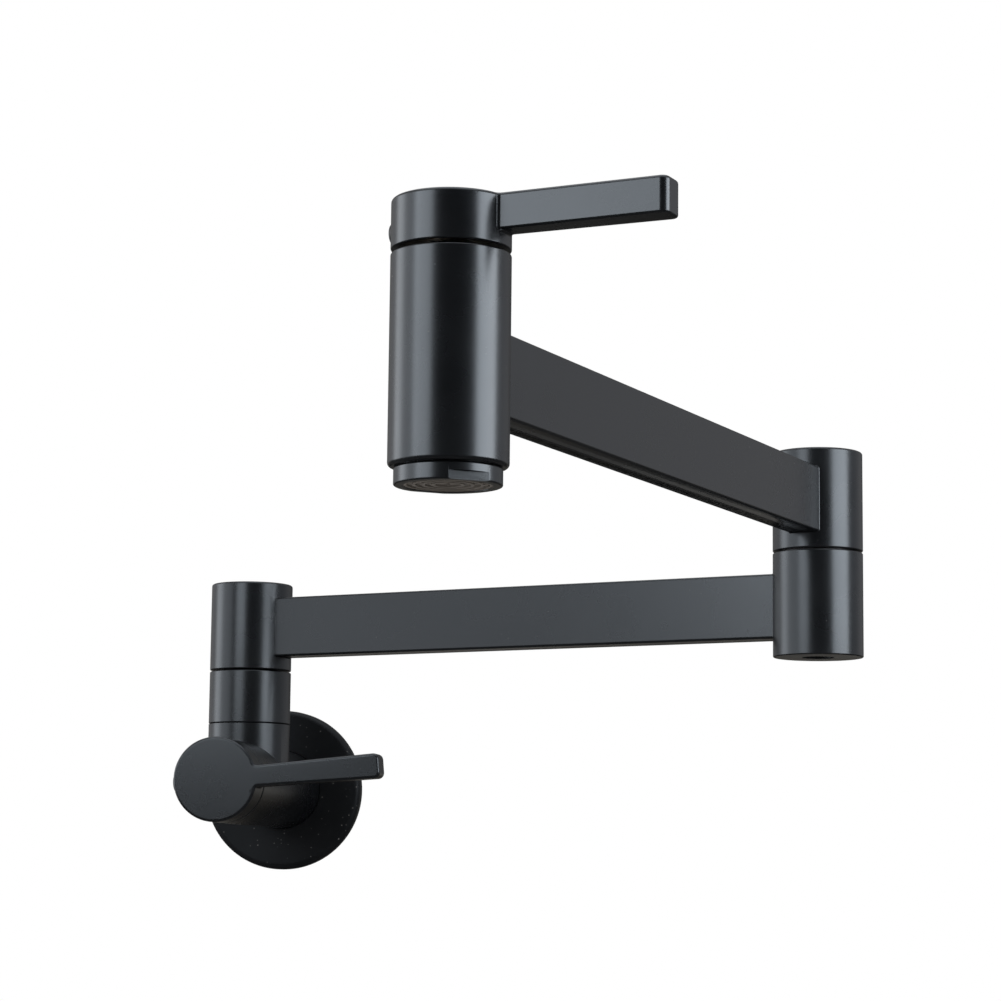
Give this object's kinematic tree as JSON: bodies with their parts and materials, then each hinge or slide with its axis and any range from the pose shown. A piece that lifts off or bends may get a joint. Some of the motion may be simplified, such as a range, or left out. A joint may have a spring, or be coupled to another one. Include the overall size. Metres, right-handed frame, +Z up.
{
  "type": "wall-mounted pot filler faucet",
  "caption": "Matt black wall-mounted pot filler faucet: hinged flat arms between round barrels, lever valves at the wall and over the spout, and an aerated outlet.",
  "frame": {"origin": "centre of the inlet on the wall plane, where the inlet's axis meets the back of the cover flange", "axes": "+Y into the wall along the inlet, +Z up along the swivel columns, +X to the right seen from the room"},
  "size_m": [0.2411, 0.4116, 0.1518],
  "materials": {
    "black_paint": "satin matt black coating on brass and on the steel arms",
    "black_plastic": "matt black",
    "brass": "turned, uncoated",
    "stainless": "plain stainless",
    "ceramic": "lapped ceramic",
    "rubber": "black nitrile",
    "foam": "closed-cell foam",
    "fibre": "red vulcanised fibre",
    "slip_plastic": "black acetal",
    "aerator_plastic": "dark grey moulded"
  },
  "bodies": {
    "wall_unit": {"wall_flange": "black_paint", "flange_gasket": "foam", "flange_o_ring": "rubber", "inlet_nipple": "brass", "inlet_seal_washer": "fibre", "wall_valve_body": "black_paint", "swivel_collar": "black_paint", "base_thrust_washer": "slip_plastic", "wall_cartridge_housing": "brass", "wall_housing_o_ring": "rubber", "wall_fixed_disc": "ceramic", "wall_seat_seal": "rubber", "wall_cartridge_nut": "brass"},
    "inner_arm": {"base_barrel": "black_paint", "base_barrel_cap": "black_paint", "base_spindle": "brass", "base_spindle_o_rings": "rubber", "inner_arm_tube": "black_paint", "elbow_lower_barrel": "black_paint", "elbow_thrust_washer": "slip_plastic"},
    "outer_arm": {"elbow_upper_barrel": "black_paint", "elbow_barrel_cap": "black_paint", "elbow_spindle": "brass", "elbow_spindle_o_rings": "rubber", "elbow_retaining_screw": "stainless", "elbow_screw_washer": "stainless", "outer_arm_tube": "black_paint", "spout_body": "black_paint", "spout_cartridge_housing": "brass", "spout_housing_o_ring": "rubber", "spout_fixed_disc": "ceramic", "spout_seat_seal": "rubber", "spout_cartridge_nut": "brass", "aerator_housing": "black_paint", "aerator_insert": "aerator_plastic", "aerator_washer": "rubber"},
    "wall_handle": {"wall_handle_lever": "black_paint", "wall_handle_grub_screw": "stainless", "wall_handle_plug": "black_plastic", "wall_valve_stem": "brass", "wall_stem_o_ring": "rubber", "wall_stem_clip": "stainless", "wall_moving_disc": "ceramic"},
    "spout_handle": {"spout_handle_lever": "black_paint", "spout_handle_grub_screw": "stainless", "spout_handle_plug": "black_plastic", "spout_valve_stem": "brass", "spout_stem_o_ring": "rubber", "spout_stem_clip": "stainless", "spout_moving_disc": "ceramic"}
  },
  "joints": [
    {"name": "base_swivel", "type": "hinge", "parent": "wall_unit", "child": "inner_arm", "pos_m": [0, -0.0578, 0.03884], "axis": [0, 0, 1], "range_deg": [-159.56, 20.44]},
    {"name": "elbow_swivel", "type": "hinge", "parent": "inner_arm", "child": "outer_arm", "pos_m": [0.19828, -0.1317, 0.0702], "axis": [0, 0, 1], "range_deg": [-93.36, 266.64]},
    {"name": "wall_valve_turn", "type": "hinge", "parent": "wall_unit", "child": "wall_handle", "pos_m": [0, -0.0918, 0], "axis": [0, 1, 0], "range_deg": [0, 90]},
    {"name": "spout_valve_turn", "type": "hinge", "parent": "outer_arm", "child": "spout_handle", "pos_m": [0.12259, -0.37803, 0.11015], "axis": [0, 0, -1], "range_deg": [0, 90]}
  ]
}
